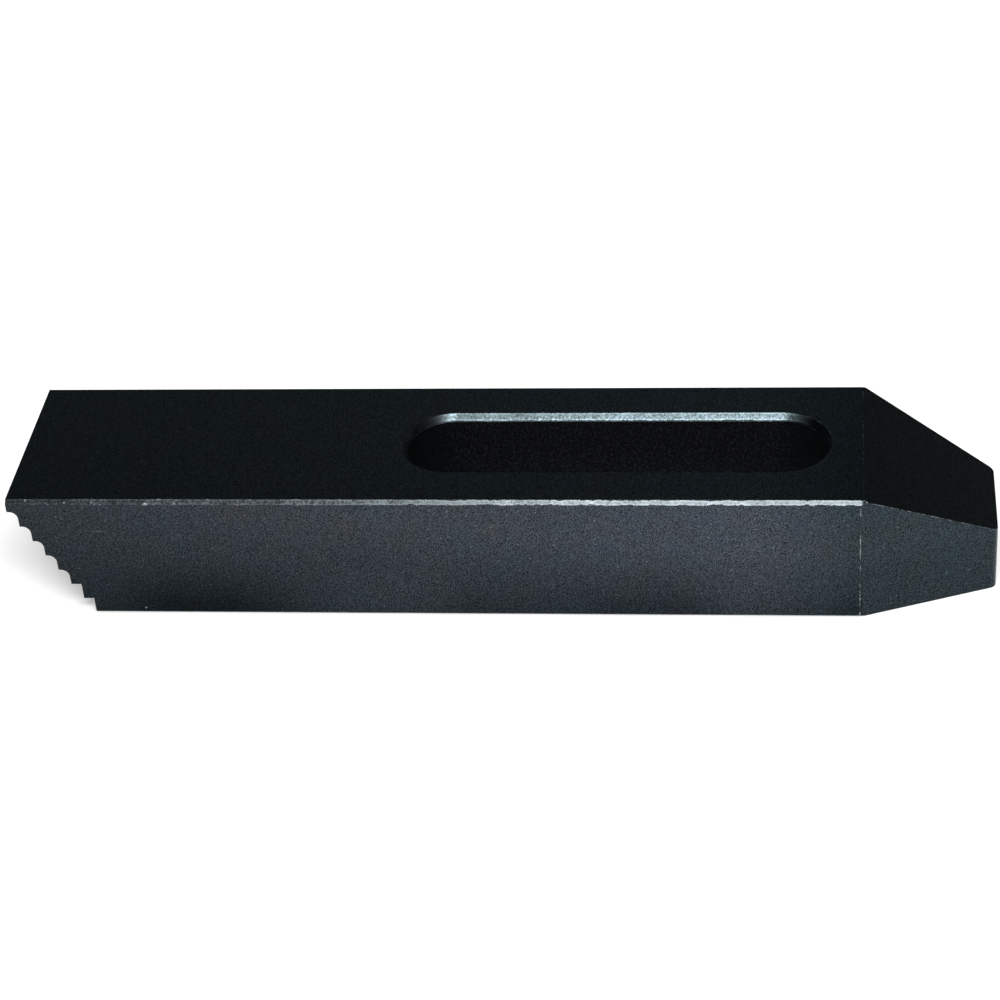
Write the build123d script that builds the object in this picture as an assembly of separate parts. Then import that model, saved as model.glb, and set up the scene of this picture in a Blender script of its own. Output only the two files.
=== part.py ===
from build123d import *
import math
import os

# A step clamp for holding work down on a machine table. It is one bar of steel: a long slot
# lets the stud through, the nose narrows and slopes down to press on the work, and the steps
# cut into the heel rest on a step block at the height that keeps the bar level.
#
# Lengths are in millimetres. Y runs along the bar from heel to nose, the way that the clamp
# reaches over the work, X across it and Z up. The origin is the middle of the outline, on
# the underside, so the bar lies on Z = 0.

# Bar
bar_length = 152.4
bar_width = 31.75
bar_height = 21.7
top_edge_chamfer = 0.65
bottom_edge_break = 0.3

# Nose, whose sides are milled a little further back than its slope
nose_slope_length = 20.45
nose_side_length = 20.95
tip_width = 16.2
tip_height = 10.9
tip_corner_radius = 1.2

# Slot for the stud
slot_width = 14.3
slot_length = 65.1
slot_to_slope = 5.7
slot_rim_chamfer = 1.0
slot_foot_break = 0.3

# Steps of the heel, which mesh with the steps of the block
step_rise = 2.8
step_slope_angle = 60
step_root_radius = 1.25
round_root_count = 5
least_heel_lip = 1.5
widest_root_share = 0.8

# How far each cutting shape reaches past the face that it enters
cut_overrun = 2.0

# Places that follow from the sizes
heel_y = -bar_length / 2
tip_y = bar_length / 2
slope_y = tip_y - nose_slope_length
narrowing_y = tip_y - nose_side_length
side_x = bar_width / 2
slot_centre_y = slope_y - slot_to_slope - slot_length / 2
step_run = step_rise / math.tan(math.radians(step_slope_angle))
step_count = int((bar_height - least_heel_lip) // step_rise)


def chamfered_bar():
    """Draw the bar's cross-section with its four cut corners and pull it out to length."""
    section = Plane.XZ.offset(-tip_y) * Rectangle(
        bar_width, bar_height, align=(Align.CENTER, Align.MIN)
    )
    section = chamfer(section.vertices().group_by(Axis.Z)[-1], top_edge_chamfer)
    section = chamfer(section.vertices().group_by(Axis.Z)[0], bottom_edge_break)
    return extrude(section, bar_length)


def nose_slope_cut():
    """The wedge above the nose, from the full height down to the height of the tip."""
    above = bar_height + cut_overrun
    past_tip = tip_y + cut_overrun
    side_view = Polyline(
        (slope_y, bar_height),
        (tip_y, tip_height),
        (past_tip, tip_height),
        (past_tip, above),
        (slope_y, above),
        close=True,
    )
    return extrude(make_face(Plane.YZ * side_view), side_x + cut_overrun, both=True)


def nose_side_cut():
    """The wedge beside the nose, on the +X side, from full width in to the tip's width."""
    outside = side_x + cut_overrun
    past_tip = tip_y + cut_overrun
    plan_view = Polyline(
        (side_x, narrowing_y),
        (tip_width / 2, tip_y),
        (tip_width / 2, past_tip),
        (outside, past_tip),
        (outside, narrowing_y),
        close=True,
    )
    return extrude(Pos(0, 0, -cut_overrun) * make_face(plan_view), bar_height + 2 * cut_overrun)


def shape_nose(bar):
    """Mill the slope and both sides of the nose, then round the tip's two upright corners."""
    side_cut = nose_side_cut()
    bar = bar - nose_slope_cut() - side_cut - mirror(side_cut, Plane.YZ)
    tip_corners = bar.edges().filter_by(Axis.Z).group_by(Axis.Y)[-1]
    return fillet(tip_corners, tip_corner_radius)


def cut_slot(bar):
    """Mill the round-ended slot through, then chamfer its rim and break its lower edge."""
    plan_view = Pos(0, slot_centre_y, -cut_overrun) * SlotOverall(
        slot_length, slot_width, rotation=90
    )
    slotted = bar - extrude(plan_view, bar_height + 2 * cut_overrun)
    upper_rim = (slotted.edges() - bar.edges()).group_by(Axis.Z)[-1]
    slotted = chamfer(upper_rim, slot_rim_chamfer)
    lower_rim = (slotted.edges() - bar.edges()).group_by(Axis.Z)[0]
    return chamfer(lower_rim, slot_foot_break)


def step_profile():
    """The side view of what is cut away under the heel.

    Each step is a level tread, facing down, that ends in an upright riser. The treads bear
    on the block, so all of them are the same rise apart. The upper steps have round roots,
    as a worn cutter leaves them, and the lowest ones are square.
    """
    top_of_steps = step_count * step_rise
    root_places = []
    corners = [(heel_y - cut_overrun, -cut_overrun), (heel_y - cut_overrun, top_of_steps)]
    for step in range(step_count):
        riser_y = heel_y + (step + 1) * step_run
        tread_z = top_of_steps - step * step_rise
        root_places.append(Vector(0, riser_y, tread_z))
        corners.append((riser_y, tread_z))
        corners.append((riser_y, tread_z - step_rise))
    corners.append((heel_y + step_count * step_run, -cut_overrun))
    profile = make_face(Plane.YZ * Polyline(*corners, close=True))
    round_roots = [
        profile.vertices().sort_by_distance(place)[0]
        for place in root_places[:round_root_count]
    ]
    return fillet(round_roots, min(step_root_radius, step_run * widest_root_share))


def cut_steps(bar):
    """Cut the steps across the whole width of the heel."""
    return bar - extrude(step_profile(), side_x + cut_overrun, both=True)


clamp_bar = cut_steps(cut_slot(shape_nose(chamfered_bar())))

os.makedirs("parts", exist_ok=True)
export_step(clamp_bar, "parts/clamp_bar.step")
print("steps:", step_count, "run:", round(step_run, 3), "volume:", round(clamp_bar.volume, 1))
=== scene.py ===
# %% [markdown]
# # A step clamp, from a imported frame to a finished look
#
# A step clamp is a short, stout bar of steel that holds work down on a machine table. A stud
# comes up through the long slot, the nose presses on the work, and the stepped heel sits on a
# step block. The real one is a single piece, milled from bar and then blackened in a hot bath.
#
# The exact solid was made elsewhere and is loaded here as the frame. This script models the
# same bar again with Blender's own tools, because a render needs what a solid leaves out:
# edges that aren't perfectly sharp, and a finish with grain and wear.

# %% Load the frame
import math

import bmesh
import bpy
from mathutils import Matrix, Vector


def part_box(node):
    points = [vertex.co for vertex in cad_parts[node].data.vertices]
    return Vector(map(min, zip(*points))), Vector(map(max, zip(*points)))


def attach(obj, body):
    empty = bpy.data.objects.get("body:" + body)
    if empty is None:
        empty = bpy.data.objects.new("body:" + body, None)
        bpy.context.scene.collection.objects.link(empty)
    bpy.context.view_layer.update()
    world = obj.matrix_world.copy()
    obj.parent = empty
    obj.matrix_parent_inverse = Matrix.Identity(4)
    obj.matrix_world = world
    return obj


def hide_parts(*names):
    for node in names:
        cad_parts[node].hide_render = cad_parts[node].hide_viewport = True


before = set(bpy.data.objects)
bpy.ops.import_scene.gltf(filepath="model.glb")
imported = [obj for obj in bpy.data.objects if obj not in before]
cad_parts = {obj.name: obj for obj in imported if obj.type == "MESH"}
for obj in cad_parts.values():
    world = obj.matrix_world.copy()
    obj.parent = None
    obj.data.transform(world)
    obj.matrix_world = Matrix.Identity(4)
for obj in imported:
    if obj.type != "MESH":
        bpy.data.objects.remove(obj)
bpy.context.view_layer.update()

# %% [markdown]
# ## Sizes
#
# Blender works in metres here and the drawing is in millimetres, so `MM` turns one into the
# other. The bar lies along Y, with its heel at -Y and its nose at +Y. Its outline comes from
# the frame, and its other sizes come from the drawing, each where it is first needed.

# %% Sizes of the bar
MM = 0.001
low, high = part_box("clamp_bar")
BAR_WIDTH, BAR_LENGTH, BAR_HEIGHT = high - low
HEEL_Y, TIP_Y = low.y, high.y
SIDE_X = high.x
print("bar:", [round(v / MM, 2) for v in (BAR_WIDTH, BAR_LENGTH, BAR_HEIGHT)], "mm")

# %% [markdown]
# ## The camera
#
# The photograph was taken from above and in front of the bar's long side with a long lens.
# Its place and turn were found by matching the bar's edges, so they are plain numbers.

# %% Camera
LENS = 100.854
SENSOR = 36.0
NEAREST_SEEN = 0.01
CAMERA_PLACE = (356.63 * MM, 51.63 * MM, 269.11 * MM)
CAMERA_TURN = (54.2586, 3.9468, 95.5981)

camera_data = bpy.data.cameras.new("photo_camera")
camera_data.lens = LENS
camera_data.sensor_width = SENSOR
camera_data.clip_start = NEAREST_SEEN
camera = bpy.data.objects.new("photo_camera", camera_data)
camera.location = CAMERA_PLACE
camera.rotation_euler = [math.radians(angle) for angle in CAMERA_TURN]
bpy.context.scene.collection.objects.link(camera)
bpy.context.scene.camera = camera
bpy.context.scene.view_settings.view_transform = "Standard"
print("camera:", [round(v, 3) for v in camera.location])

# %% [markdown]
# ## Helpers for work in edit mode
#
# An operator acts on whatever is selected, so each step starts by clearing the selection and
# then picking faces or edges by their place or their normal, as a mouse would. Places are
# compared with a tolerance, because the computer's numbers are never quite exact.

# %% Helpers for edit mode
TOLERANCE = 0.01 * MM


def near(a, b, reach=TOLERANCE):
    return abs(a - b) < reach


def only(piece):
    """Select one object and make it the active one."""
    if bpy.context.object and bpy.context.object.mode != "OBJECT":
        bpy.ops.object.mode_set(mode="OBJECT")
    bpy.ops.object.select_all(action="DESELECT")
    piece.select_set(True)
    bpy.context.view_layer.objects.active = piece


def open_edit(piece, kind):
    """Enter edit mode on a piece with nothing selected, picking by VERT, EDGE or FACE."""
    only(piece)
    bpy.ops.object.mode_set(mode="EDIT")
    bpy.ops.mesh.select_mode(type=kind)
    bpy.ops.mesh.select_all(action="DESELECT")


def close_edit():
    bpy.ops.object.mode_set(mode="OBJECT")


def pick_edges(piece, wanted):
    """Select the edges whose two ends pass the test, stay in edit mode, and return how many."""
    open_edit(piece, "EDGE")
    mesh = bmesh.from_edit_mesh(piece.data)
    count = 0
    for edge in mesh.edges:
        a, b = edge.verts[0].co, edge.verts[1].co
        if wanted(a, b):
            edge.select_set(True)
            count += 1
    bmesh.update_edit_mesh(piece.data)
    return count


print("tolerance:", TOLERANCE / MM, "mm")

# %% [markdown]
# Two more helpers stand for the vice and the cutter. The first puts a block in place, and the
# second takes one shape out of another. The exact solver is slower than Blender's fast one,
# but it cuts cleanly where faces lie in one plane, as those of a milled part often do.

# %% Helpers that make and cut blocks
SOLVER = "EXACT"


def block(name, size, centre):
    """Add a box of that size at that place, with its size put into its mesh."""
    bpy.ops.object.select_all(action="DESELECT")
    bpy.ops.mesh.primitive_cube_add(size=1, location=centre)
    piece = bpy.context.object
    piece.name = piece.data.name = name
    piece.scale = size
    bpy.ops.object.transform_apply(location=True, rotation=True, scale=True)
    return piece


def cut_away(piece, cutter):
    """Take the cutter's shape out of the piece, then throw the cutter away."""
    only(piece)
    cut = piece.modifiers.new("cut", "BOOLEAN")
    cut.operation = "DIFFERENCE"
    cut.solver = SOLVER
    cut.object = cutter
    bpy.ops.object.modifier_apply(modifier=cut.name)
    bpy.data.objects.remove(cutter)


print("boolean solver:", SOLVER)

# %% [markdown]
# ## The bar stock
#
# The real clamp starts as rectangular steel bar. A box stands for it, and a bevel of one
# segment is a milled chamfer: 0.65 mm along the top and a smaller break along the foot. A cut
# down the middle that removes nothing gives the slot clean corners to start from later.

# %% Bar stock with chamfered long edges
TOP_CHAMFER = 0.65 * MM
FOOT_BREAK = 0.3 * MM

clamp = block("clamp", (BAR_WIDTH, BAR_LENGTH, BAR_HEIGHT), (0, 0, BAR_HEIGHT / 2))

for height, cut in ((BAR_HEIGHT, TOP_CHAMFER), (0, FOOT_BREAK)):
    found = pick_edges(
        clamp, lambda a, b: near(a.z, height) and near(b.z, height) and near(a.x, b.x)
    )
    bpy.ops.mesh.bevel(offset=cut, segments=1, affect="EDGES")
    print("chamfered edges:", found)

bpy.ops.mesh.select_all(action="SELECT")
bpy.ops.mesh.bisect(plane_co=(0, 0, 0), plane_no=(1, 0, 0))
close_edit()

# %% [markdown]
# ## The nose
#
# Three flat cuts shape the nose, a slope on top and one down each side. Bisect does what the
# milling cutter does: it slices along a plane, drops the waste and closes the cut with a
# face. The sides start half a millimetre behind the slope, so the chamfer ends in a mitre.

# %% Three flat cuts for the nose
SLOPE_LENGTH = 20.45 * MM
NARROWING_LENGTH = 20.95 * MM
TIP_WIDTH = 16.2 * MM
TIP_HEIGHT = 10.9 * MM
SLOPE_Y = TIP_Y - SLOPE_LENGTH
NARROWING_Y = TIP_Y - NARROWING_LENGTH

slope_normal = Vector((0, BAR_HEIGHT - TIP_HEIGHT, SLOPE_LENGTH)).normalized()
side_lean = (BAR_WIDTH - TIP_WIDTH) / 2
side_normal = Vector((NARROWING_LENGTH, side_lean, 0)).normalized()
cuts = [
    ((0, SLOPE_Y, BAR_HEIGHT), slope_normal),
    ((SIDE_X, NARROWING_Y, 0), side_normal),
    ((-SIDE_X, NARROWING_Y, 0), Vector((-side_normal.x, side_normal.y, 0))),
]
open_edit(clamp, "FACE")
for point, normal in cuts:
    bpy.ops.mesh.select_all(action="SELECT")
    bpy.ops.mesh.bisect(plane_co=point, plane_no=normal, use_fill=True, clear_outer=True)
close_edit()
print("cuts made:", len(cuts))

# %% [markdown]
# The tip's two upright corners are rounded by a bevel with many segments. Bevel asks for the
# distance from the corner to where the curve starts, and not for its radius. On a corner
# that isn't square, the tangent of half its turn gives one from the other.

# %% Rounded corners of the tip
TIP_CORNER_RADIUS = 1.2 * MM
TIP_CORNER_FACES = 8

lean_angle = math.atan2(side_lean, NARROWING_LENGTH)
tangent = TIP_CORNER_RADIUS * math.tan(math.radians(45) - lean_angle / 2)


def is_tip_corner(a, b):
    """Whether an edge is upright and at the side of the tip, clear of the middle line."""
    at_tip = near(a.y, TIP_Y) and near(b.y, TIP_Y)
    return at_tip and near(a.x, b.x) and abs(a.x) > TIP_WIDTH / 4


corners = pick_edges(clamp, is_tip_corner)
bpy.ops.mesh.bevel(offset=tangent, segments=TIP_CORNER_FACES, affect="EDGES")
close_edit()
print("tip corners rounded:", corners)

# %% [markdown]
# ## The slot
#
# A slot drill leaves straight sides and round ends as wide as the tool. The cutter here is a
# box whose upright edges are bevelled until its ends are half circles. Two bevels meet at the
# middle of each end and leave double corners there, so these are merged before the cut.

# %% Slot
SLOT_WIDTH = 14.3 * MM
SLOT_LENGTH = 65.1 * MM
SLOT_TO_SLOPE = 5.7 * MM
SLOT_CENTRE_Y = SLOPE_Y - SLOT_TO_SLOPE - SLOT_LENGTH / 2
SLOT_END_FACES = 24
MERGE_DISTANCE = 0.005 * MM

slot_cutter = block(
    "slot_cutter", (SLOT_WIDTH, SLOT_LENGTH, 2 * BAR_HEIGHT), (0, SLOT_CENTRE_Y, BAR_HEIGHT / 2)
)
pick_edges(slot_cutter, lambda a, b: near(a.x, b.x) and near(a.y, b.y))
bpy.ops.mesh.bevel(offset=SLOT_WIDTH / 2, segments=SLOT_END_FACES, affect="EDGES")
bpy.ops.mesh.select_all(action="SELECT")
bpy.ops.mesh.remove_doubles(threshold=MERGE_DISTANCE)
close_edit()
cut_away(clamp, slot_cutter)
print("faces with the slot:", len(clamp.data.polygons))

# %% [markdown]
# A bevel of one segment round the rim gives the broad chamfer that catches the light, and a
# smaller one breaks the edge at the foot. The edges of both are found by their height and by
# lying on the wall of the slot, seen from above. All of that wall is half the slot's width
# from a straight line between the centres of the two round ends.

# %% Chamfers round the slot
RIM_CHAMFER = 1.0 * MM
HALF_STRAIGHT = (SLOT_LENGTH - SLOT_WIDTH) / 2
WALL_TOLERANCE = 0.03 * MM


def on_slot_wall(point):
    """Whether a point lies on the wall of the slot, seen from above."""
    past = max(abs(point.y - SLOT_CENTRE_Y) - HALF_STRAIGHT, 0)
    return near(math.hypot(point.x, past), SLOT_WIDTH / 2, WALL_TOLERANCE)


for height, cut in ((BAR_HEIGHT, RIM_CHAMFER), (0, FOOT_BREAK)):
    found = pick_edges(
        clamp,
        lambda a, b: near(a.z, height) and near(b.z, height) and on_slot_wall(a) and on_slot_wall(b),
    )
    bpy.ops.mesh.bevel(offset=cut, segments=1, affect="EDGES")
    close_edit()
    print("rim edges chamfered:", found)

# %% [markdown]
# ## The stepped heel
#
# Seven passes of one cutter, each a step lower and a step further in, leave the teeth that
# mesh with a step block. Here the cutter is a block with one rounded corner. The two lowest
# roots are square in the photograph, so their cutter keeps its sharp corner.

# %% Cutters for the steps
STEP_RISE = 2.8 * MM
STEP_SLOPE = math.radians(60)
STEP_RUN = STEP_RISE / math.tan(STEP_SLOPE)
ROOT_RADIUS = 1.25 * MM
CUTTER_REACH = 30 * MM
ROOT_FACES = 10


def is_inner_corner(a, b):
    """Whether an edge of a step cutter lies along the X axis."""
    return near(a.y, 0) and near(b.y, 0) and near(a.z, 0) and near(b.z, 0)


def step_cutter(name, corner_radius):
    """A block whose upper inner corner is at the origin, with that corner rounded."""
    size = (2 * BAR_WIDTH, CUTTER_REACH, CUTTER_REACH)
    cutter = block(name, size, (0, -CUTTER_REACH / 2, -CUTTER_REACH / 2))
    if corner_radius:
        pick_edges(cutter, is_inner_corner)
        bpy.ops.mesh.bevel(offset=corner_radius, segments=ROOT_FACES, affect="EDGES")
        close_edit()
    return cutter


round_cutter = step_cutter("round_step_cutter", ROOT_RADIUS)
square_cutter = step_cutter("square_step_cutter", 0)
print("step:", STEP_RISE / MM, "mm up and", round(STEP_RUN / MM, 2), "mm in")

# %% [markdown]
# Each pass moves a copy of the cutter to its step and takes it out of the bar. A copy shares
# its mesh with the first one unless that is copied too, and a cut throws its cutter away.

# %% Seven passes
STEP_COUNT = 7
ROUND_ROOTS = 5

for step in range(STEP_COUNT):
    pattern = round_cutter if step < ROUND_ROOTS else square_cutter
    one_pass = pattern.copy()
    one_pass.data = pattern.data.copy()
    bpy.context.scene.collection.objects.link(one_pass)
    only(one_pass)
    root = (0, HEEL_Y + (step + 1) * STEP_RUN, (STEP_COUNT - step) * STEP_RISE)
    bpy.ops.transform.translate(value=root)
    bpy.ops.object.transform_apply(location=True, rotation=True, scale=True)
    cut_away(clamp, one_pass)
bpy.data.objects.remove(round_cutter)
bpy.data.objects.remove(square_cutter)
print("steps cut:", STEP_COUNT, "faces:", len(clamp.data.polygons))

# %% [markdown]
# ## Colours and a node helper
#
# Colours are written as sRGB hex, as a paint program shows them, and the shader wants linear
# light, so one function turns one into the other. A second adds a node with its settings and
# its links, and gives back one of its outputs, which keeps each material readable.
#
# Most of the work below is done by two kinds of node. A noise texture gives soft blobs, whose
# size is 1 over its scale. Its values lie mostly between 0.3 and 0.7, and more than half of
# them between 0.35 and 0.65. A Map Range node stretches one range to another and holds the
# value at the ends. Unless it is told otherwise, both of its ranges are 0 to 1.
#
# A Mix node holds a set of sockets for numbers, one for vectors and one for colours. The
# colours are its inputs 6 and 7 and its output 2.

# %% Colour and node helpers
NOISE_LOW, NOISE_HIGH = 0.3, 0.7
MIDDLE_LOW, MIDDLE_HIGH = 0.35, 0.65
FIRST_COLOUR, SECOND_COLOUR = 6, 7
COLOUR_MIX = {"output": 2, "data_type": "RGBA"}


def linear(hex_colour):
    """Turn an sRGB hex colour into linear RGBA, by the curve in the sRGB standard."""
    parts = [int(hex_colour[i:i + 2], 16) / 255 for i in (1, 3, 5)]
    return [c / 12.92 if c <= 0.04045 else ((c + 0.055) / 1.055) ** 2.4 for c in parts] + [1.0]


def node(tree, kind, inputs, output=0, **settings):
    """Add a node with its settings and links, and return one of its outputs.

    An input is given by its name or number, as a value or as another node's output.
    """
    made = tree.nodes.new("ShaderNode" + kind)
    for name, value in settings.items():
        setattr(made, name, value)
    for name, value in inputs.items():
        if isinstance(value, bpy.types.NodeSocket):
            tree.links.new(value, made.inputs[name])
        else:
            made.inputs[name].default_value = value
    return made.outputs[output]


print("mid grey in linear light:", round(linear("#808080")[0], 3))

# %% [markdown]
# ## Blackened steel
#
# Hot blackening turns the skin of the steel to magnetite, a thin dark film that keeps the
# steel's satin gloss. The film isn't quite even. It drifts between a blue and a brown cast
# every few millimetres, and it is greener on the nose. Its colour is also painted darker at
# the heel and along the foot, as painted shade, and darker and lighter patches of painted
# shade take turns along the foot, as in the photograph.
#
# Every finish of the bar uses this film, so its colour is a function of its own. Metallic is
# 1 everywhere, because a metal's base colour is what it reflects: under a white light the
# film renders as its own colour.

# %% A metallic finish, and where a place lies on the bar
def new_finish(name):
    """A material with a metallic shader, and its tree, shader and place on the object."""
    material = bpy.data.materials.new(name)
    material.use_nodes = True
    tree = material.node_tree
    shader = tree.nodes["Principled BSDF"]
    shader.inputs["Metallic"].default_value = 1.0
    return material, tree, shader, node(tree, "TexCoord", {}, "Object")


def along_and_height(tree, place):
    """A place's distance along the bar and its height, both measured from the origin."""
    along = node(tree, "SeparateXYZ", {"Vector": place}, "Y")
    height = node(tree, "SeparateXYZ", {"Vector": place}, "Z")
    return along, height


def away_from(tree, along, centre):
    """The distance along the bar from a place on it."""
    offset = node(tree, "Math", {0: along, 1: centre}, operation="SUBTRACT")
    return node(tree, "Math", {0: offset}, operation="ABSOLUTE")


print("along the bar:", round(HEEL_Y / MM, 1), "to", round(TIP_Y / MM, 1), "mm")

# %% [markdown]
# The patches of painted shade along the foot are wide and soft, and they only change how
# light the film is. So each is a number that fades with the distance along the bar, and the sum
# of the patches fades again with height, which keeps them low.

# %% Patches of painted shade along the foot
# Each patch's place along the bar, how far it is even, where it ends, and its change in
# lightness at the foot
FOOT_SHADE_PATCHES = [
    (-48 * MM, 5 * MM, 16 * MM, -0.5),
    (-19 * MM, 4 * MM, 15 * MM, 0.42),
    (23 * MM, 5 * MM, 12 * MM, -0.18),
    (43 * MM, 7 * MM, 14 * MM, 0.22),
]
PATCH_FADES_FROM, PATCH_FADES_TO = 2 * MM, 10 * MM


def foot_shade_lightness(tree, along, height):
    """How much lighter or darker the patches of painted shade along the foot make the film."""
    low_down = node(tree, "MapRange", {
        "Value": height, "From Min": PATCH_FADES_FROM, "From Max": PATCH_FADES_TO,
        "To Min": 1.0, "To Max": 0.0,
    })
    lightness = 1.0
    # The patches paint shade along the foot, some darker and some lighter.
    for centre, even_to, ends_at, change in FOOT_SHADE_PATCHES:
        patch = node(tree, "MapRange", {
            "Value": away_from(tree, along, centre), "From Min": even_to, "From Max": ends_at,
            "To Min": change, "To Max": 0.0,
        })
        lightness = node(
            tree, "Math", {0: patch, 1: low_down, 2: lightness}, operation="MULTIPLY_ADD"
        )
    return lightness


print("patches along the foot:", len(FOOT_SHADE_PATCHES))

# %% [markdown]
# The drift between blue and brown is mixed in as soft light, which shifts a colour gently and
# leaves dark ones dark. The greener nose is a multiplication, which takes most from the red.

# %% Drift and tint of the film
BLUE_CAST, BROWN_CAST = linear("#6f8a9e"), linear("#94857b")
CAST_SHARE = 0.3
MOTTLE = 6 * MM
NOSE_TINT = linear("#c0d0ce")
TINT_FROM_Y = SLOT_CENTRE_Y + SLOT_LENGTH / 3


def tinted(tree, place, along, film):
    """Give the film its drift of blue and brown, and its greener nose."""
    mottle = node(tree, "TexNoise", {"Vector": place, "Scale": 1 / MOTTLE})
    drift = node(
        tree, "MapRange", {"Value": mottle, "From Min": NOISE_LOW, "From Max": NOISE_HIGH}
    )
    blend = {"Factor": drift, FIRST_COLOUR: BLUE_CAST, SECOND_COLOUR: BROWN_CAST}
    cast = node(tree, "Mix", blend, **COLOUR_MIX)
    blend = {"Factor": CAST_SHARE, FIRST_COLOUR: film, SECOND_COLOUR: cast}
    film = node(tree, "Mix", blend, blend_type="SOFT_LIGHT", **COLOUR_MIX)
    blend = {"Factor": 1.0, FIRST_COLOUR: film, SECOND_COLOUR: NOSE_TINT}
    greener = node(tree, "Mix", blend, blend_type="MULTIPLY", **COLOUR_MIX)
    at_nose = node(
        tree, "MapRange", {"Value": along, "From Min": TINT_FROM_Y, "From Max": NARROWING_Y}
    )
    blend = {"Factor": at_nose, FIRST_COLOUR: film, SECOND_COLOUR: greener}
    return node(tree, "Mix", blend, **COLOUR_MIX)


print("the film drifts every", MOTTLE / MM, "mm")

# %% [markdown]
# The colour itself is a mix of mixes. One runs from heel to nose along the foot, one from heel
# to nose at the top, and a third runs from the first to the second with height. The darker heel
# and foot are painted shade. At the heel the film pales up to the top of the bar, and at the
# nose it is at its palest half way up. Past the narrowing it hardly changes with height.

# %% Colour of the film, with painted shade
FOOT_AT_HEEL, FOOT_AT_NOSE = linear("#22292d"), linear("#30363c")
TOP_AT_HEEL, TOP_AT_NOSE = linear("#34393e"), linear("#4a4f56")
PALEST_HEIGHT_AT_HEEL = BAR_HEIGHT
PALEST_HEIGHT_AT_NOSE = BAR_HEIGHT * 0.5
LEAST_PALE_ON_NOSE = 0.8


def film_and_painted_shade(tree, place):
    """The colour of the film at a place: painted darker at the heel and the foot as painted shade,
    with a soft drift.
    """
    along, height = along_and_height(tree, place)
    from_heel = {"Value": along, "From Min": HEEL_Y, "From Max": NARROWING_Y}
    to_nose = node(tree, "MapRange", from_heel)
    palest_height = node(tree, "MapRange", {
        **from_heel, "To Min": PALEST_HEIGHT_AT_HEEL, "To Max": PALEST_HEIGHT_AT_NOSE,
    })
    to_top = node(tree, "MapRange", {"Value": height, "From Max": palest_height})
    on_nose = node(tree, "MapRange", {
        "Value": along, "From Min": NARROWING_Y, "From Max": SLOPE_Y, "To Max": LEAST_PALE_ON_NOSE,
    })
    to_top = node(tree, "Math", {0: to_top, 1: on_nose}, operation="MAXIMUM")
    # The darker colours at the foot and at the heel are painted shade.
    blend = {"Factor": to_nose, FIRST_COLOUR: FOOT_AT_HEEL, SECOND_COLOUR: FOOT_AT_NOSE}
    at_foot = node(tree, "Mix", blend, **COLOUR_MIX)
    blend = {"Factor": to_nose, FIRST_COLOUR: TOP_AT_HEEL, SECOND_COLOUR: TOP_AT_NOSE}
    at_top = node(tree, "Mix", blend, **COLOUR_MIX)
    blend = {"Factor": to_top, FIRST_COLOUR: at_foot, SECOND_COLOUR: at_top}
    film = node(tree, "Mix", blend, **COLOUR_MIX)
    lightness = foot_shade_lightness(tree, along, height)
    film = node(tree, "VectorMath", {0: film, "Scale": lightness}, operation="SCALE")
    return tinted(tree, place, along, film)


print("film at the heel, along the foot:", [round(part, 3) for part in FOOT_AT_HEEL[:3]])

# %% [markdown]
# ### Nicks
#
# A clamp gets knocked against chips and other tools. The photograph shows a handful of bright
# nicks on the near side, most of them on the chamfer at the heel, and one faint scratch. Each
# is a small ellipse of bare steel, listed one by one. Dividing the distance from its centre by
# half its length and half its width turns the ellipse into a circle, which is easy to draw.
# Two of them, at the nose's upright edge, are partly worn steel and partly a painted highlight along
# that edge.

# %% Nicks of bare steel, and a painted highlight on the nose
BARE_STEEL = linear("#b4b8bb")
NICK_DEPTH = 1 * MM
NICK_SOFT_FROM = 0.5

# Each nick's distance from the heel and its height, then half its length, half its width and
# its strength. All but the strength are in millimetres.
NICKS_AND_EDGE_HIGHLIGHT = [
    (3.2, 21.55, 0.22, 0.2, 0.6),
    (9.4, 21.3, 0.22, 0.2, 0.4),
    (13.7, 21.3, 0.22, 0.2, 0.5),
    (22.2, 21.15, 0.45, 0.2, 0.8),
    (26.7, 21.25, 0.2, 0.2, 0.4),
    (19.5, 1.0, 0.22, 0.22, 0.4),
    (13.9, 15.9, 1.6, 0.12, 0.12),
    # These two are partly worn steel and partly a painted highlight on the nose's upright edge.
    (131.45, 12.4, 0.15, 1.6, 0.25),
    (131.45, 19.8, 0.15, 1.0, 0.2),
]


def nicked_and_highlighted(tree, place, colour):
    """Show bare steel through a colour at each nick, and a painted highlight on the nose's upright
    edge.
    """
    bare = 0.0
    for along, height, half_length, half_width, strength in NICKS_AND_EDGE_HIGHLIGHT:
        centre = (SIDE_X, HEEL_Y + along * MM, height * MM)
        away = node(tree, "VectorMath", {0: place, 1: centre}, operation="SUBTRACT")
        shares = (1 / NICK_DEPTH, 1 / (half_length * MM), 1 / (half_width * MM))
        away = node(tree, "VectorMath", {0: away, 1: shares}, operation="MULTIPLY")
        distance = node(tree, "VectorMath", {0: away}, "Value", operation="LENGTH")
        spot = node(tree, "MapRange", {
            "Value": distance, "From Min": NICK_SOFT_FROM, "To Min": strength, "To Max": 0.0,
        })
        bare = node(tree, "Math", {0: bare, 1: spot}, operation="MAXIMUM")
    blend = {"Factor": bare, FIRST_COLOUR: colour, SECOND_COLOUR: BARE_STEEL}
    return node(tree, "Mix", blend, **COLOUR_MIX)


print("nicks:", len(NICKS_AND_EDGE_HIGHLIGHT))

# %% [markdown]
# ### The blasted faces
#
# The steel was blasted before it was blackened, which leaves dents of some 0.1 mm. They could
# be cut into the mesh, at the cost of millions of faces, so a noise texture draws them in the
# colour, the gloss and a slight bump. They are drawn at 0.16 mm, a pixel of the render,
# because anything finer wouldn't show. A few spots twice as large are painted lighter in the colour,
# as painted glints.

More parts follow.
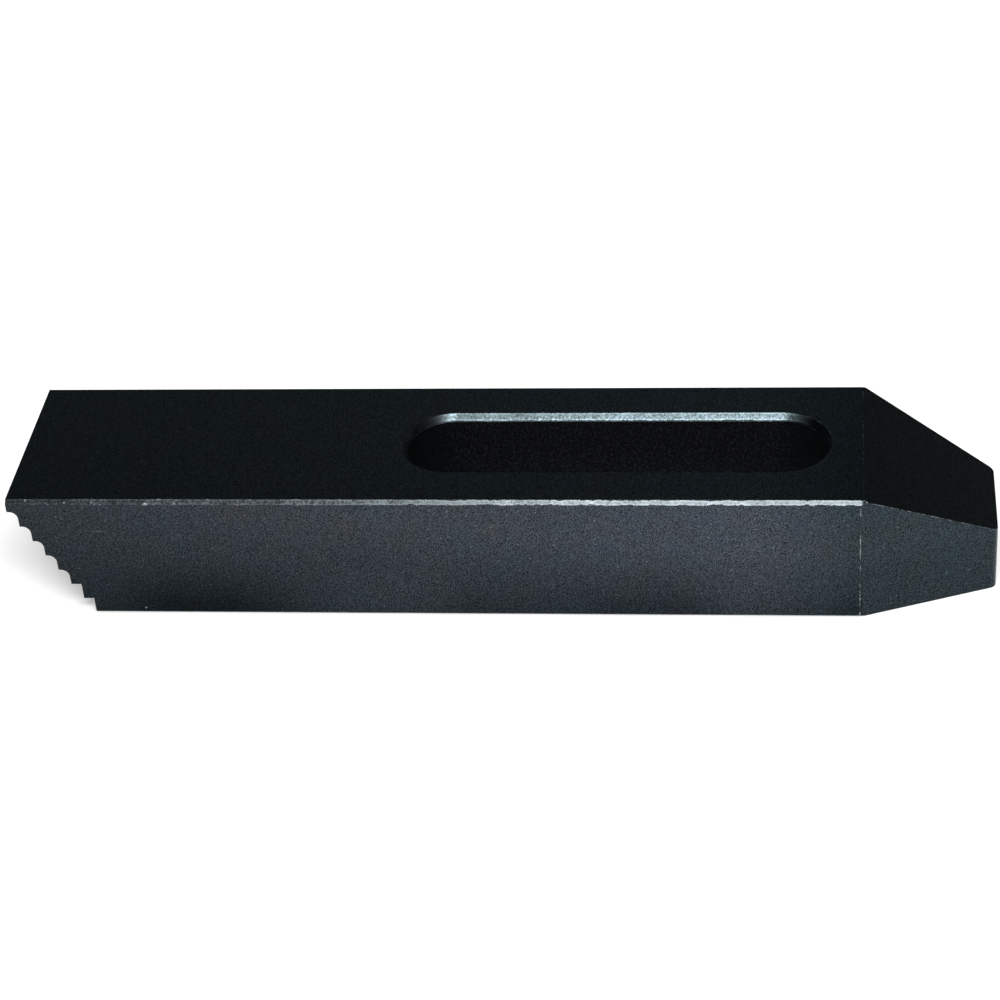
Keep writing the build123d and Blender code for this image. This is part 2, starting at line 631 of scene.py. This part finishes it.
# %% Blackened steel, blasted, with painted glints
GRAIN = 0.16 * MM
GRAIN_DARKEST, GRAIN_LIGHTEST = 0.05, 1.95
GLINT = 0.35 * MM
GLINT_FROM, GLINT_TO = 0.72, 0.77
GLINT_LIGHTNESS = 2.5
SMOOTHEST_GRAIN, ROUGHEST_GRAIN = 0.27, 0.36
DENT_STRENGTH = 0.6
DENT_DEPTH = 0.01 * MM


def blackened_steel():
    material, tree, shader, place = new_finish("blackened_steel_blasted_painted_glints")
    grain = node(
        tree, "TexNoise", {"Vector": place, "Scale": 1 / GRAIN, "Detail": 1.0, "Roughness": 0.7}
    )
    spots = node(tree, "TexNoise", {"Vector": place, "Scale": 1 / GLINT, "Detail": 1.0})
    # Painted glints: a few larger spots are painted lighter in the colour.
    glints = node(tree, "MapRange", {
        "Value": spots, "From Min": GLINT_FROM, "From Max": GLINT_TO, "To Max": GLINT_LIGHTNESS,
    })
    dents = node(tree, "MapRange", {
        "Value": grain, "From Min": MIDDLE_LOW, "From Max": MIDDLE_HIGH,
        "To Min": GRAIN_DARKEST, "To Max": GRAIN_LIGHTEST,
    })
    lightness = node(tree, "Math", {0: dents, 1: glints}, operation="ADD")
    film = film_and_painted_shade(tree, place)
    film = node(tree, "VectorMath", {0: film, "Scale": lightness}, operation="SCALE")
    gloss = node(tree, "MapRange", {
        "Value": grain, "From Min": NOISE_LOW, "From Max": NOISE_HIGH,
        "To Min": SMOOTHEST_GRAIN, "To Max": ROUGHEST_GRAIN,
    })
    bump = node(
        tree, "Bump", {"Height": grain, "Strength": DENT_STRENGTH, "Distance": DENT_DEPTH}
    )
    tree.links.new(nicked_and_highlighted(tree, place, film), shader.inputs["Base Color"])
    tree.links.new(gloss, shader.inputs["Roughness"])
    tree.links.new(bump, shader.inputs["Normal"])
    return material


face_finish = blackened_steel()
print("material:", face_finish.name)

# %% [markdown]
# ## Inside the slot
#
# Blasting hardly reaches the wall of the slot, so it keeps the mill's rougher, spotted skin.
# A rough metal scatters light widely, so the wall catches a little of the lamp that a smooth
# one would miss. In the round ends the marks vary less, and the colour is painted darker
# there as painted shade. The shading depends on the distance past the slot's straight sides,
# which one helper measures for the rim too.

# %% Milled slot wall, with painted shade in its round ends
MILL_MARK = 0.4 * MM
MARK_FROM, MARK_TO = 0.48, 0.70
DARKEST_MARK = 0.6
LIGHTEST_ON_SIDE, LIGHTEST_IN_SHADED_END = 2.6, 1.0
WALL_ON_SIDE, WALL_IN_SHADED_END = linear("#303236"), linear("#22272a")
WALL_ROUGHNESS = 0.6
WALL_END_START = -0.7 * MM
WALL_END_STOP = 4.8 * MM


def past_straight(tree, along, start, end, shift=0):
    """Rise from 0 to 1 between two distances past the slot's straight sides, at either end."""
    return node(tree, "MapRange", {
        "Value": away_from(tree, along, SLOT_CENTRE_Y + shift),
        "From Min": HALF_STRAIGHT + start, "From Max": HALF_STRAIGHT + end,
    })


def milled_wall():
    material, tree, shader, place = new_finish("blackened_steel_milled_slot_painted_shade")
    marks = node(
        tree, "TexNoise", {"Vector": place, "Scale": 1 / MILL_MARK, "Detail": 3.0, "Roughness": 0.7}
    )
    along = along_and_height(tree, place)[0]
    in_end = past_straight(tree, along, WALL_END_START, WALL_END_STOP)
    lightest = node(
        tree, "MapRange", {"Value": in_end, "To Min": LIGHTEST_ON_SIDE, "To Max": LIGHTEST_IN_SHADED_END}
    )
    lightness = node(tree, "MapRange", {
        "Value": marks, "From Min": MARK_FROM, "From Max": MARK_TO,
        "To Min": DARKEST_MARK, "To Max": lightest,
    })
    # The round ends are painted darker, as painted shade.
    blend = {"Factor": in_end, FIRST_COLOUR: WALL_ON_SIDE, SECOND_COLOUR: WALL_IN_SHADED_END}
    wall = node(tree, "Mix", blend, **COLOUR_MIX)
    wall = node(tree, "VectorMath", {0: wall, "Scale": lightness}, operation="SCALE")
    tree.links.new(wall, shader.inputs["Base Color"])
    shader.inputs["Roughness"].default_value = WALL_ROUGHNESS
    return material


slot_finish = milled_wall()
print("material:", slot_finish.name)

# %% [markdown]
# ## Burnished chamfers
#
# Hands, nuts and washers rub the chamfers, so their film is smoother in flecks than on the
# faces, and the flecks mirror a lamp sharply. The rubbing stops short of the corners unevenly,
# so the bright band has wavy borders, and its colour is painted lighter just inside them, as a
# painted highlight. On the slot's rim the borders are straighter, the middle is painted darker
# and the colour of the flecks differs less.
# The band could be a face of its own, but a mask keeps its borders free of the mesh: the
# height below the top face says how far a place is from the chamfer's two corners.

# %% How far inside the rubbed band a place is
BORDER_WAVE = 1.2 * MM


def reach_into_band(tree, place, depth, foot_margin, furthest_out, furthest_in):
    """The distance from the nearer border of the rubbed band, which waves out and in."""
    height = along_and_height(tree, place)[1]
    from_top = node(tree, "Math", {0: BAR_HEIGHT, 1: height}, operation="SUBTRACT")
    band_foot = BAR_HEIGHT - depth + foot_margin
    from_foot = node(tree, "Math", {0: height, 1: band_foot}, operation="SUBTRACT")
    inside = node(tree, "Math", {0: from_top, 1: from_foot}, operation="MINIMUM")
    blobs = node(tree, "TexNoise", {"Vector": place, "Scale": 1 / BORDER_WAVE})
    wave = node(tree, "MapRange", {
        "Value": blobs, "From Min": NOISE_LOW, "From Max": NOISE_HIGH,
        "To Min": furthest_out, "To Max": furthest_in,
    })
    return node(tree, "Math", {0: inside, 1: wave}, operation="SUBTRACT")


print("waves of the border:", BORDER_WAVE / MM, "mm")

# %% [markdown]
# The edge of the bar is rubbed from the heel to the nose. The rim of the slot is rubbed on its
# long sides, and the band fades out in its round ends, where only the plain film is left.

# %% Where the edge and the rim are rubbed
RUB_END_START = 1.6 * MM
RUB_END_STOP = 4.9 * MM
RUB_SHIFT = 0.5 * MM
RUB_FALLOFF = 1.8
EDGE_RUBBED_TO = NARROWING_Y + 0.1 * MM
EDGE_PLAIN_FROM = NARROWING_Y + 0.5 * MM


def edge_rubbed(tree, along):
    """1 along the edge of the bar, and 0 on the nose."""
    return node(tree, "MapRange", {
        "Value": along, "From Min": EDGE_RUBBED_TO, "From Max": EDGE_PLAIN_FROM,
        "To Min": 1.0, "To Max": 0.0,
    })


def rim_rubbed(tree, along):
    """1 along the slot's straight sides, fading to 0 in its round ends."""
    in_end = past_straight(tree, along, RUB_END_START, RUB_END_STOP, RUB_SHIFT)
    on_side = node(tree, "Math", {0: 1.0, 1: in_end}, operation="SUBTRACT")
    return node(tree, "Math", {0: on_side, 1: RUB_FALLOFF}, operation="POWER")


print("the rim's band fades over", round((RUB_END_STOP - RUB_END_START) / MM, 2), "mm")

# %% [markdown]
# The band's colour is painted a little lighter at the heel's end of the slot than at the nose,
# and far lighter where the slot's rim turns round at the nose, as painted highlight. The plain
# film beside the band is painted darker than on the faces, as painted shade, except between the
# heel and the slot, where it is painted lighter, as a painted sheen. Each is a colour times
# numbers that change along the bar.

# %% Colours of the rubbed band and of the plain film beside it, with painted highlight, shade and sheen
PLAIN_AT_MIDDLE, PLAIN_AT_NOSE = 0.32, 0.13
PLAIN_FADES_TO_Y = 2 * SLOT_CENTRE_Y
PLAIN_BEFORE_SLOT = 5.0
SLOT_HEEL_END_Y = SLOT_CENTRE_Y - SLOT_LENGTH / 2
SLOT_FILM_STARTS_Y = SLOT_HEEL_END_Y - 0.5 * MM
SLOT_FILM_FULL_Y = SLOT_HEEL_END_Y + 0.6 * MM
SLOT_BEND_Y = SLOT_CENTRE_Y + HALF_STRAIGHT
BEND_STARTS_Y, BEND_ENDS_Y = SLOT_BEND_Y + 0.2 * MM, SLOT_BEND_Y + 2.6 * MM
BORDER_BRIGHT_TO, MIDDLE_FROM = 0.08 * MM, 0.25 * MM


def band_with_painted_highlight(tree, along, reach, border, middle, at_slot, at_nose, at_bend):
    """The rubbed film, from the colour of its borders to that of its middle, with a painted
    highlight along the bar.
    """
    inwards = node(
        tree, "MapRange", {"Value": reach, "From Min": BORDER_BRIGHT_TO, "From Max": MIDDLE_FROM}
    )
    blend = {"Factor": inwards, FIRST_COLOUR: border, SECOND_COLOUR: middle}
    band = node(tree, "Mix", blend, **COLOUR_MIX)
    # Painted highlight: lighter at the slot's heel end, and far lighter where the rim turns round at
    # the nose.
    strength = node(tree, "MapRange", {
        "Value": along, "From Min": SLOT_HEEL_END_Y, "From Max": SLOPE_Y,
        "To Min": at_slot, "To Max": at_nose,
    })
    band = node(tree, "VectorMath", {0: band, "Scale": strength}, operation="SCALE")
    in_bend = node(tree, "MapRange", {
        "Value": along, "From Min": BEND_STARTS_Y, "From Max": BEND_ENDS_Y,
        "To Min": 1.0, "To Max": at_bend,
    })
    return node(tree, "VectorMath", {0: band, "Scale": in_bend}, operation="SCALE")


def plain_film_with_painted_shade_and_sheen(tree, place, along):
    """The film of a chamfer where it isn't rubbed: a painted sheen before the slot, painted shade
    darkest at the nose.
    """
    # Painted shade darkens the plain film towards the nose, and a painted sheen lightens it before
    # the slot.
    towards_nose = node(tree, "MapRange", {
        "Value": along, "From Min": 0.0, "From Max": PLAIN_FADES_TO_Y,
        "To Min": PLAIN_AT_MIDDLE, "To Max": PLAIN_AT_NOSE,
    })
    before_slot = node(tree, "MapRange", {
        "Value": along, "From Min": SLOT_FILM_STARTS_Y, "From Max": SLOT_FILM_FULL_Y,
        "To Min": PLAIN_BEFORE_SLOT, "To Max": 1.0,
    })
    film = film_and_painted_shade(tree, place)
    film = node(tree, "VectorMath", {0: film, "Scale": towards_nose}, operation="SCALE")
    return node(tree, "VectorMath", {0: film, "Scale": before_slot}, operation="SCALE")


print("the band's middle starts", MIDDLE_FROM / MM, "mm inside its border")

# %% [markdown]
# The flecks are one noise that drives the colour, the gloss and a slight bump, so a rough
# fleck is dull and stands out as well. Over it lies a second noise with patches ten times as
# large, because a hand doesn't rub evenly.

# %% Lightness of the flecks
FLECK = 0.35 * MM
RUB_PATCH = 4 * MM
DULLEST_PATCH, BRIGHTEST_PATCH = 0.72, 1.2


def fleck_lightness(tree, place, flecks, smooth_fleck, rough_fleck):
    """How light the film is from fleck to fleck, and from one rubbed patch to the next."""
    fleck = node(tree, "MapRange", {
        "Value": flecks, "From Min": NOISE_LOW, "From Max": NOISE_HIGH,
        "To Min": smooth_fleck, "To Max": rough_fleck,
    })
    patches = node(tree, "TexNoise", {"Vector": place, "Scale": 1 / RUB_PATCH})
    patch = node(tree, "MapRange", {
        "Value": patches, "From Min": NOISE_LOW, "From Max": NOISE_HIGH,
        "To Min": DULLEST_PATCH, "To Max": BRIGHTEST_PATCH,
    })
    return node(tree, "Math", {0: fleck, 1: patch}, operation="MULTIPLY")


print("flecks of", FLECK / MM, "mm in patches of", RUB_PATCH / MM, "mm")

# %% [markdown]
# The finish puts these together. Where the mask is 1 the band shows, and where it is 0 the
# plain film does, for the colour and the gloss alike.

# %% Finish of a burnished chamfer
BORDER_SOFTNESS = 0.07 * MM
SMOOTHEST_FLECK, ROUGHEST_FLECK = 0.10, 0.35
PLAIN_ROUGHNESS = 0.42
SCUFF_STRENGTH = 0.25
SCUFF_DEPTH = 0.01 * MM


def burnished_chamfer(name, rubbed_part, borders, colours, smooth_fleck, rough_fleck):
    """The finish of a chamfer, with painted highlight, shade and sheen. The last two say how light
    its flecks are.
    """
    material, tree, shader, place = new_finish(name)
    along = along_and_height(tree, place)[0]
    reach = reach_into_band(tree, place, **borders)
    rubbed = node(tree, "MapRange", {"Value": reach, "From Max": BORDER_SOFTNESS})
    rubbed = node(tree, "Math", {0: rubbed, 1: rubbed_part(tree, along)}, operation="MULTIPLY")

    flecks = node(
        tree, "TexNoise", {"Vector": place, "Scale": 1 / FLECK, "Detail": 2.0, "Roughness": 0.6}
    )
    lightness = fleck_lightness(tree, place, flecks, smooth_fleck, rough_fleck)
    band = band_with_painted_highlight(tree, along, reach, **colours)
    plain = plain_film_with_painted_shade_and_sheen(tree, place, along)
    blend = {"Factor": rubbed, FIRST_COLOUR: plain, SECOND_COLOUR: band}
    colour = node(tree, "Mix", blend, **COLOUR_MIX)
    colour = node(tree, "VectorMath", {0: colour, "Scale": lightness}, operation="SCALE")

    smooth = node(tree, "MapRange", {
        "Value": flecks, "From Min": MIDDLE_LOW, "From Max": MIDDLE_HIGH,
        "To Min": SMOOTHEST_FLECK, "To Max": ROUGHEST_FLECK,
    })
    gloss = node(
        tree, "MapRange", {"Value": rubbed, "To Min": PLAIN_ROUGHNESS, "To Max": smooth}
    )
    bump = node(
        tree, "Bump", {"Height": flecks, "Strength": SCUFF_STRENGTH, "Distance": SCUFF_DEPTH}
    )
    tree.links.new(nicked_and_highlighted(tree, place, colour), shader.inputs["Base Color"])
    tree.links.new(gloss, shader.inputs["Roughness"])
    tree.links.new(bump, shader.inputs["Normal"])
    return material


print("border softens over", round(BORDER_SOFTNESS / MM, 2), "mm")

# %% [markdown]
# The finish is made twice, for the edge of the bar and for the rim of the slot. The colours
# and distances of each were matched to the photograph.

# %% Chamfers of the edge and of the rim
edge_chamfer_finish = burnished_chamfer(
    "blackened_steel_burnished_edge_painted_light", edge_rubbed,
    borders={
        "depth": TOP_CHAMFER, "foot_margin": 0.0,
        "furthest_out": -0.08 * MM, "furthest_in": 0.15 * MM,
    },
    colours={
        "border": linear("#474c4e"), "middle": linear("#3a3f41"),
        "at_slot": 1.0, "at_nose": 0.91, "at_bend": 1.0,
    },
    smooth_fleck=0.65, rough_fleck=1.35,
)
rim_chamfer_finish = burnished_chamfer(
    "blackened_steel_burnished_rim_painted_light", rim_rubbed,
    borders={
        "depth": RIM_CHAMFER, "foot_margin": 0.11 * MM,
        "furthest_out": -0.04 * MM, "furthest_in": 0.03 * MM,
    },
    colours={
        "border": linear("#455053"), "middle": linear("#343c3f"),
        "at_slot": 1.2, "at_nose": 0.88, "at_bend": 3.2,
    },
    smooth_fleck=1.05, rough_fleck=0.95,
)
print("materials:", edge_chamfer_finish.name, rim_chamfer_finish.name)

# %% [markdown]
# ## Worn edges
#
# Where two faces meet, the film chips off in tiny specks and bare steel shows. The edge is
# its own thin strip of faces, made by the bevel below, so the specks can't stray from it.
# They crowd together at the nose, which is knocked and dragged over the work.
#
# The specks come from a noise that is cut off high up, so only its peaks show. Adding a little
# to the noise lets more of it past the cut, which is how the wear gathers in places.

# %% Worn edge
SPECK = 0.5 * MM
SPECK_FROM, SPECK_TO = 0.58, 0.70
WEAR_PATCH = 4 * MM
WEAR_CHANGE = 0.08
NOSE_WEAR = 0.13
NOSE_WEAR_FROM_Y = NARROWING_Y - 1 * MM
NOSE_WEAR_FULL_Y = NARROWING_Y + 1.5 * MM
TOP_EDGE_WEAR = 0.4
BELOW_TOP_EDGE, AT_TOP_EDGE = BAR_HEIGHT - 0.6 * MM, BAR_HEIGHT - 0.2 * MM
FILM_ROUGHNESS, BARE_ROUGHNESS = 0.32, 0.5


def worn_edge():
    material, tree, shader, place = new_finish("blackened_steel_worn_edge")
    along, height = along_and_height(tree, place)
    specks = node(
        tree, "TexNoise", {"Vector": place, "Scale": 1 / SPECK, "Detail": 4.0, "Roughness": 0.75}
    )
    patches = node(tree, "TexNoise", {"Vector": place, "Scale": 1 / WEAR_PATCH})
    patch_wear = node(tree, "MapRange", {
        "Value": patches, "From Min": NOISE_LOW, "From Max": NOISE_HIGH,
        "To Min": -WEAR_CHANGE, "To Max": WEAR_CHANGE,
    })
    nose_wear = node(tree, "MapRange", {
        "Value": along, "From Min": NOSE_WEAR_FROM_Y, "From Max": NOSE_WEAR_FULL_Y,
        "To Max": NOSE_WEAR,
    })
    below_top = node(tree, "MapRange", {
        "Value": height, "From Min": BELOW_TOP_EDGE, "From Max": AT_TOP_EDGE,
        "To Min": 1.0, "To Max": TOP_EDGE_WEAR,
    })
    wear = node(
        tree, "Math", {0: nose_wear, 1: below_top, 2: patch_wear}, operation="MULTIPLY_ADD"
    )
    peaks = node(tree, "Math", {0: specks, 1: wear}, operation="ADD")
    bare = node(
        tree, "MapRange", {"Value": peaks, "From Min": SPECK_FROM, "From Max": SPECK_TO}
    )
    blend = {"Factor": bare, FIRST_COLOUR: film_and_painted_shade(tree, place), SECOND_COLOUR: BARE_STEEL}
    colour = node(tree, "Mix", blend, **COLOUR_MIX)
    gloss = node(
        tree, "MapRange", {"Value": bare, "To Min": FILM_ROUGHNESS, "To Max": BARE_ROUGHNESS}
    )
    tree.links.new(nicked_and_highlighted(tree, place, colour), shader.inputs["Base Color"])
    tree.links.new(gloss, shader.inputs["Roughness"])
    return material


edge_finish = worn_edge()
print("material:", edge_finish.name)

# %% [markdown]
# ## Putting the finishes on
#
# The chamfers are the faces that lean at 45 degrees, so they are picked by their normal. The
# wall of the slot is picked by its place. Everything that isn't picked keeps the first finish,
# the one of the blasted faces.

# %% Finishes on faces
FINISHES = [face_finish, edge_chamfer_finish, rim_chamfer_finish, slot_finish, edge_finish]
NORMAL_TOLERANCE = 0.02
UPRIGHT_TOLERANCE = 0.01
for finish in FINISHES:
    clamp.data.materials.append(finish)


def give_finish(finish, wanted):
    """Put a finish on the faces whose normal and middle pass the test."""
    open_edit(clamp, "FACE")
    mesh = bmesh.from_edit_mesh(clamp.data)
    count = 0
    for face in mesh.faces:
        if wanted(face.normal, face.calc_center_median()):
            face.select_set(True)
            count += 1
    bmesh.update_edit_mesh(clamp.data)
    clamp.active_material_index = FINISHES.index(finish)
    bpy.ops.object.material_slot_assign()
    close_edit()
    print("faces with", finish.name, ":", count)


def is_chamfer(normal, centre):
    leans = near(normal.z, math.sqrt(0.5), NORMAL_TOLERANCE)
    return leans and centre.z > BAR_HEIGHT - RIM_CHAMFER


give_finish(edge_chamfer_finish, lambda n, c: is_chamfer(n, c) and abs(c.x) > SIDE_X - TOP_CHAMFER)
give_finish(rim_chamfer_finish, lambda n, c: is_chamfer(n, c) and abs(c.x) < SLOT_WIDTH)
give_finish(slot_finish, lambda n, c: near(n.z, 0, UPRIGHT_TOLERANCE) and on_slot_wall(c))

# %% [markdown]
# ## Softened edges
#
# No edge of a blasted bar is perfectly sharp, and a sharp one catches no light. A narrow
# bevel rounds every edge by about a tenth of a millimetre and gives the new strips the worn
# finish. It leaves alone the shallow angles between the faces of a curve. Weighted normals
# then keep the broad faces flat.

# %% Softened edges
SOFT_EDGE = 0.13 * MM
SOFT_EDGE_FACES = 2
LEAST_EDGE_ANGLE = math.radians(16)
SMOOTH_BELOW = math.radians(40)

soften = clamp.modifiers.new("soften", "BEVEL")
soften.width = SOFT_EDGE
soften.segments = SOFT_EDGE_FACES
soften.limit_method = "ANGLE"
soften.angle_limit = LEAST_EDGE_ANGLE
soften.material = FINISHES.index(edge_finish)
soften.use_clamp_overlap = True
only(clamp)
bpy.ops.object.modifier_apply(modifier=soften.name)
bpy.ops.object.shade_smooth_by_angle(angle=SMOOTH_BELOW)
flatten = clamp.modifiers.new("flatten", "WEIGHTED_NORMAL")
flatten.keep_sharp = True
bpy.ops.object.modifier_apply(modifier=flatten.name)
print("finished faces:", len(clamp.data.polygons))

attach(clamp, "root")
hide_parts("clamp_bar")

# %% [markdown]
# ## The floor and the light
#
# What the camera sees and what the steel mirrors can differ. A Light Path node tells their
# rays apart. A ray that bounced off a metal is a glossy ray, and one that passed through
# glass, of which there is none here, is a transmission ray.

# %% Reflected rays
WHITE = linear("#ffffff")


def reflected_rays(tree):
    """1 for rays that bounced off a metal or passed through glass, and 0 for all others."""
    glossy = node(tree, "LightPath", {}, "Is Glossy Ray")
    through = node(tree, "LightPath", {}, "Is Transmission Ray")
    return node(tree, "Math", {0: glossy, 1: through}, operation="MAXIMUM")


print("white in linear light:", WHITE)

# %% [markdown]
# ### The floor
#
# The floor is a plain pale sheet that keeps the bar's soft shadow. The camera also sees a
# little glow in it, more of it far from the bar, where the lamp is weak, so it reads as white
# all over. The steel mirrors only a faint glow.

# %% Floor
FLOOR_SIZE = 6
FLOOR_GAP = 0.05 * MM
PAPER = linear("#f7f7f7")
PAPER_ROUGHNESS = 0.9
MIRRORED_GLOW = 0.06
GLOW_NEAR, GLOW_FAR = 0.22, 0.7
GLOW_GROWS_FROM, GLOW_GROWS_TO = 0.3, 1.0

bpy.ops.object.select_all(action="DESELECT")
bpy.ops.mesh.primitive_plane_add(size=FLOOR_SIZE, location=(0, 0, -FLOOR_GAP))
floor = bpy.context.object
floor.name = "floor"
paper = bpy.data.materials.new("white_paper")
paper.use_nodes = True
tree = paper.node_tree
shader = tree.nodes["Principled BSDF"]
shader.inputs["Base Color"].default_value = PAPER
shader.inputs["Roughness"].default_value = PAPER_ROUGHNESS
shader.inputs["Emission Color"].default_value = WHITE
place = node(tree, "TexCoord", {}, "Object")
from_bar = node(tree, "VectorMath", {0: place}, "Value", operation="LENGTH")
seen_glow = node(tree, "MapRange", {
    "Value": from_bar, "From Min": GLOW_GROWS_FROM, "From Max": GLOW_GROWS_TO,
    "To Min": GLOW_NEAR, "To Max": GLOW_FAR,
})
seen = node(tree, "LightPath", {}, "Is Camera Ray")
mirrored_glow = node(
    tree, "Math", {0: reflected_rays(tree), 1: MIRRORED_GLOW}, operation="MULTIPLY"
)
glow = node(tree, "Math", {0: seen, 1: seen_glow, 2: mirrored_glow}, operation="MULTIPLY_ADD")
tree.links.new(glow, shader.inputs["Emission Strength"])
floor.data.materials.append(paper)
print("floor:", FLOOR_SIZE, "m across,", FLOOR_GAP / MM, "mm below the bar")

# %% [markdown]
# ### What the steel mirrors
#
# Steel looks like whatever it mirrors, so the studio is built around that. The world gives an
# even, soft light. In reflections it is a dim room instead: a wall behind the bar that the top
# face and the slope mirror, nearly black overhead and faintly blue-green, and a paler ceiling
# above the camera that gives the chamfers at the heel their soft sheen.
#
# A world has no walls. It only knows which way a ray goes, as three numbers from -1 to 1. So
# each side of the room is a product of fades, one for each of those numbers.

# %% Sides of the room
# Each fade's axis, the two directions that it runs between, and its strength at each
ROOM = {
    "behind": ("X", -0.5, -0.2, 1.0, 0.0),
    "wall_height": ("Z", 0.48, 0.66, 0.175, 0.065),
    "wall_length": ("Y", 0.15, 0.40, 1.0, 0.25),
    "ceiling_height": ("Z", 0.5, 0.7, 0.0, 1.0),
    "ceiling_side": ("X", 0.2, 0.5, 0.0, 1.0),
    "ceiling_length": ("Y", -0.30, -0.16, 0.25, 1.0),
}

world = bpy.data.worlds.new("studio")
bpy.context.scene.world = world
world.use_nodes = True
tree = world.node_tree
sky = tree.nodes["Background"]
direction = node(tree, "TexCoord", {}, "Generated")
fades = {}
for part, (axis, start, end, at_start, at_end) in ROOM.items():
    fades[part] = node(tree, "MapRange", {
        "Value": node(tree, "SeparateXYZ", {"Vector": direction}, axis),
        "From Min": start, "From Max": end, "To Min": at_start, "To Max": at_end,
    })
print("sides of the room:", len(fades), "fades")

# %% [markdown]
# The world's strength is the soft light for most rays and the dim room for the reflected ones,
# and white for the camera. The tint is on the back wall alone.
#
# Cycles can also aim rays at the world by itself. Those don't say which kind of ray they are,
# so the soft light would leak into the reflections. Sampling method NONE turns that off.

# %% World
SOFT_LIGHT = 0.68
ROOM_LIGHT = 0.18
WALL_TINT = linear("#e5fdff")

back_wall = node(
    tree, "Math", {0: fades["wall_height"], 1: fades["wall_length"]}, operation="MULTIPLY"
)
ceiling_across = node(
    tree, "Math", {0: fades["ceiling_side"], 1: fades["ceiling_length"]}, operation="MULTIPLY"
)
beside = node(
    tree, "Math", {0: fades["ceiling_height"], 1: ceiling_across, 2: ROOM_LIGHT},
    operation="MULTIPLY_ADD"
)
dim = node(tree, "MapRange", {"Value": fades["behind"], "To Min": beside, "To Max": back_wall})
seen = node(tree, "LightPath", {}, "Is Camera Ray")
soft = node(tree, "MapRange", {"Value": seen, "To Min": SOFT_LIGHT})
mirrored = reflected_rays(tree)
strength = node(tree, "MapRange", {"Value": mirrored, "To Min": soft, "To Max": dim})
on_wall = node(tree, "Math", {0: mirrored, 1: fades["behind"]}, operation="MULTIPLY")
blend = {"Factor": on_wall, FIRST_COLOUR: WHITE, SECOND_COLOUR: WALL_TINT}
tree.links.new(node(tree, "Mix", blend, **COLOUR_MIX), sky.inputs["Color"])
tree.links.new(strength, sky.inputs["Strength"])
world.cycles.sampling_method = "NONE"
print("soft light:", SOFT_LIGHT, "and light in the room:", ROOM_LIGHT)

# %% [markdown]
# ### The softbox
#
# One large softbox above the camera is the main light. It is placed where the chamfers of the
# nose half mirror it and turn bright. The heel half looks past its edge and stays grey, which
# is what the photograph shows.

# %% Softbox
SOFTBOX_WIDTH, SOFTBOX_HEIGHT = 0.35, 0.14
SOFTBOX_ENERGY = 2.6
SOFTBOX_PLACE = (0.367, 0.090, 0.505)
SOFTBOX_AIM = Vector((0.0, 0.02, 0.02))

softbox_data = bpy.data.lights.new("softbox", "AREA")
softbox_data.shape = "RECTANGLE"
softbox_data.size = SOFTBOX_WIDTH
softbox_data.size_y = SOFTBOX_HEIGHT
softbox_data.energy = SOFTBOX_ENERGY
softbox = bpy.data.objects.new("softbox", softbox_data)
softbox.location = SOFTBOX_PLACE
to_bar = SOFTBOX_AIM - softbox.location
softbox.rotation_euler = to_bar.to_track_quat("-Z", "Y").to_euler()
softbox.visible_camera = False
bpy.context.scene.collection.objects.link(softbox)
print("softbox:", softbox_data.energy, "W, from", round(to_bar.length, 2), "m")
